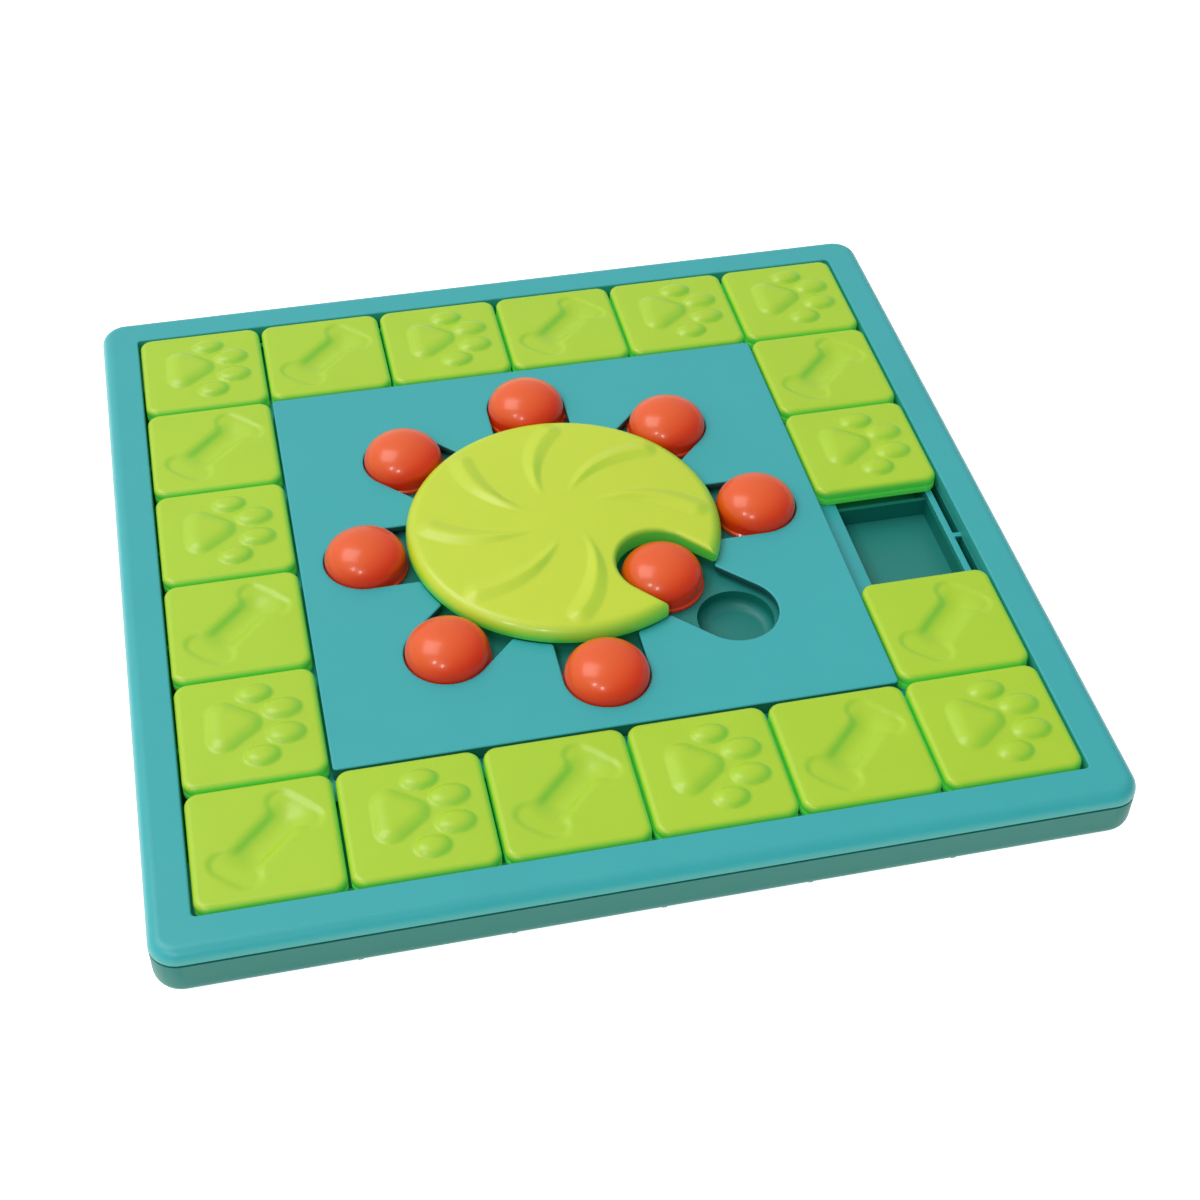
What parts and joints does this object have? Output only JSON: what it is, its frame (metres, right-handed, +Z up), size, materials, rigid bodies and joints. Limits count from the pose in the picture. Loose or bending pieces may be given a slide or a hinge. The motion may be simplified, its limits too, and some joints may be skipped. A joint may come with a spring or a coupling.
{
  "type": "dog puzzle feeder toy",
  "caption": "Square treat puzzle for dogs: a ring of sliding blocks over compartments around a panel with a turning notched disc and domed knobs over treat cups.",
  "frame": {"origin": "middle of the board on the surface it stands on", "axes": "+Z up out of the playing surface, +X to the right and +Y to the back, seen from the front edge"},
  "size_m": [0.396, 0.396, 0.038],
  "materials": {
    "base_teal": "semi-gloss moulded plastic",
    "frame_teal": "semi-gloss moulded plastic",
    "panel_teal": "semi-gloss moulded plastic",
    "block_lime": "semi-gloss moulded plastic",
    "slider_lime": "semi-gloss moulded plastic",
    "disc_lime": "semi-gloss moulded plastic",
    "knob_orange": "glossy moulded plastic",
    "steel": "zinc plated",
    "foot_rubber": "matt"
  },
  "bodies": {
    "root": {"base_shell": "base_teal", "base_deck": "base_teal", "base_cups": "base_teal", "base_walls": "base_teal", "outer_frame": "frame_teal", "centre_panel": "panel_teal", "frame_screws": "steel", "panel_screws": "steel", "rubber_feet": "foot_rubber"},
    "disc": {"disc": "disc_lime", "disc_washer": "steel", "disc_screw": "steel"},
    "knob_1": {"knob_1": "knob_orange"},
    "knob_2": {"knob_2": "knob_orange"},
    "knob_3": {"knob_3": "knob_orange"},
    "knob_4": {"knob_4": "knob_orange"},
    "knob_5": {"knob_5": "knob_orange"},
    "knob_6": {"knob_6": "knob_orange"},
    "knob_7": {"knob_7": "knob_orange"},
    "knob_8": {"knob_8": "knob_orange"},
    "block_08": {"tile_cap_08": "block_lime", "tile_slider_08": "slider_lime"},
    "block_07": {"tile_cap_07": "block_lime", "tile_slider_07": "slider_lime"},
    "block_06": {"tile_cap_06": "block_lime", "tile_slider_06": "slider_lime"},
    "block_10": {"tile_cap_10": "block_lime", "tile_slider_10": "slider_lime"},
    "block_11": {"tile_cap_11": "block_lime", "tile_slider_11": "slider_lime"},
    "block_15": {"tile_cap_15": "block_lime", "tile_slider_15": "slider_lime"},
    "block_14": {"tile_cap_14": "block_lime", "tile_slider_14": "slider_lime"},
    "block_13": {"tile_cap_13": "block_lime", "tile_slider_13": "slider_lime"},
    "block_12": {"tile_cap_12": "block_lime", "tile_slider_12": "slider_lime"},
    "block_20": {"tile_cap_20": "block_lime", "tile_slider_20": "slider_lime"},
    "block_19": {"tile_cap_19": "block_lime", "tile_slider_19": "slider_lime"},
    "block_18": {"tile_cap_18": "block_lime", "tile_slider_18": "slider_lime"},
    "block_17": {"tile_cap_17": "block_lime", "tile_slider_17": "slider_lime"},
    "block_16": {"tile_cap_16": "block_lime", "tile_slider_16": "slider_lime"},
    "block_05": {"tile_cap_05": "block_lime", "tile_slider_05": "slider_lime"},
    "block_04": {"tile_cap_04": "block_lime", "tile_slider_04": "slider_lime"},
    "block_03": {"tile_cap_03": "block_lime", "tile_slider_03": "slider_lime"},
    "block_02": {"tile_cap_02": "block_lime", "tile_slider_02": "slider_lime"},
    "block_01": {"tile_cap_01": "block_lime", "tile_slider_01": "slider_lime"}
  },
  "joints": [
    {"name": "disc_turn", "type": "hinge", "parent": "root", "child": "disc", "pos_m": [0, 0, 0.0203], "axis": [0, 0, 1], "range_deg": [-315, 0]},
    {"name": "knob_1_slide", "type": "slide", "parent": "root", "child": "knob_1", "axis": [-1, 0, 0], "range_m": [0, 0.0005]},
    {"name": "knob_2_slide", "type": "slide", "parent": "root", "child": "knob_2", "axis": [-0.7071, -0.7071, 0], "range_m": [0, 0.0005]},
    {"name": "knob_3_slide", "type": "slide", "parent": "root", "child": "knob_3", "axis": [0, -1, 0], "range_m": [0, 0.0005]},
    {"name": "knob_4_slide", "type": "slide", "parent": "root", "child": "knob_4", "axis": [0.7071, -0.7071, 0], "range_m": [0, 0.0005]},
    {"name": "knob_5_slide", "type": "slide", "parent": "root", "child": "knob_5", "axis": [1, 0, 0], "range_m": [0, 0.0005]},
    {"name": "knob_6_slide", "type": "slide", "parent": "root", "child": "knob_6", "axis": [0.7071, 0.7071, 0], "range_m": [0, 0.0005]},
    {"name": "knob_7_slide", "type": "slide", "parent": "root", "child": "knob_7", "axis": [0, 1, 0], "range_m": [0, 0.0005]},
    {"name": "knob_8_slide", "type": "slide", "parent": "disc", "child": "knob_8", "axis": [0.7071, -0.7071, 0], "range_m": [0, 0.0382]},
    {"name": "block_08_slide", "type": "slide", "parent": "root", "child": "block_08", "axis": [0, -1, 0], "range_m": [0, 0.06]},
    {"name": "block_07_slide", "type": "slide", "parent": "root", "child": "block_07", "axis": [0, -1, 0], "range_m": [0, 0.06]},
    {"name": "block_06_slide", "type": "slide", "parent": "root", "child": "block_06", "axis": [0, -1, 0], "range_m": [0, 0.06]},
    {"name": "block_10_slide", "type": "slide", "parent": "root", "child": "block_10", "axis": [0, -1, 0], "range_m": [-0.06, 0]},
    {"name": "block_11_slide", "type": "slide", "parent": "root", "child": "block_11", "axis": [0, -1, 0], "range_m": [-0.06, 0]},
    {"name": "block_15_slide", "type": "slide", "parent": "root", "child": "block_15", "axis": [-1, 0, 0], "range_m": [0, 0.0008]},
    {"name": "block_14_slide", "type": "slide", "parent": "root", "child": "block_14", "axis": [-1, 0, 0], "range_m": [0, 0.0008]},
    {"name": "block_13_slide", "type": "slide", "parent": "root", "child": "block_13", "axis": [-1, 0, 0], "range_m": [0, 0.0008]},
    {"name": "block_12_slide", "type": "slide", "parent": "root", "child": "block_12", "axis": [-1, 0, 0], "range_m": [0, 0.0008]},
    {"name": "block_20_slide", "type": "slide", "parent": "root", "child": "block_20", "axis": [0, 1, 0], "range_m": [0, 0.0008]},
    {"name": "block_19_slide", "type": "slide", "parent": "root", "child": "block_19", "axis": [0, 1, 0], "range_m": [0, 0.0008]},
    {"name": "block_18_slide", "type": "slide", "parent": "root", "child": "block_18", "axis": [0, 1, 0], "range_m": [0, 0.0008]},
    {"name": "block_17_slide", "type": "slide", "parent": "root", "child": "block_17", "axis": [0, 1, 0], "range_m": [0, 0.0008]},
    {"name": "block_16_slide", "type": "slide", "parent": "root", "child": "block_16", "axis": [0, 1, 0], "range_m": [0, 0.0008]},
    {"name": "block_05_slide", "type": "slide", "parent": "root", "child": "block_05", "axis": [1, 0, 0], "range_m": [0, 0.0008]},
    {"name": "block_04_slide", "type": "slide", "parent": "root", "child": "block_04", "axis": [1, 0, 0], "range_m": [0, 0.0008]},
    {"name": "block_03_slide", "type": "slide", "parent": "root", "child": "block_03", "axis": [1, 0, 0], "range_m": [0, 0.0008]},
    {"name": "block_02_slide", "type": "slide", "parent": "root", "child": "block_02", "axis": [1, 0, 0], "range_m": [0, 0.0008]},
    {"name": "block_01_slide", "type": "slide", "parent": "root", "child": "block_01", "axis": [1, 0, 0], "range_m": [0, 0.0008]}
  ],
  "couplings": [
    {"joint": "block_07_slide", "follows": "block_08_slide", "ratio": 1},
    {"joint": "block_06_slide", "follows": "block_08_slide", "ratio": 1},
    {"joint": "block_11_slide", "follows": "block_10_slide", "ratio": 1},
    {"joint": "block_14_slide", "follows": "block_15_slide", "ratio": 1},
    {"joint": "block_13_slide", "follows": "block_15_slide", "ratio": 1},
    {"joint": "block_12_slide", "follows": "block_15_slide", "ratio": 1},
    {"joint": "block_19_slide", "follows": "block_20_slide", "ratio": 1},
    {"joint": "block_18_slide", "follows": "block_20_slide", "ratio": 1},
    {"joint": "block_17_slide", "follows": "block_20_slide", "ratio": 1},
    {"joint": "block_16_slide", "follows": "block_20_slide", "ratio": 1},
    {"joint": "block_04_slide", "follows": "block_05_slide", "ratio": 1},
    {"joint": "block_03_slide", "follows": "block_05_slide", "ratio": 1},
    {"joint": "block_02_slide", "follows": "block_05_slide", "ratio": 1},
    {"joint": "block_01_slide", "follows": "block_05_slide", "ratio": 1}
  ]
}
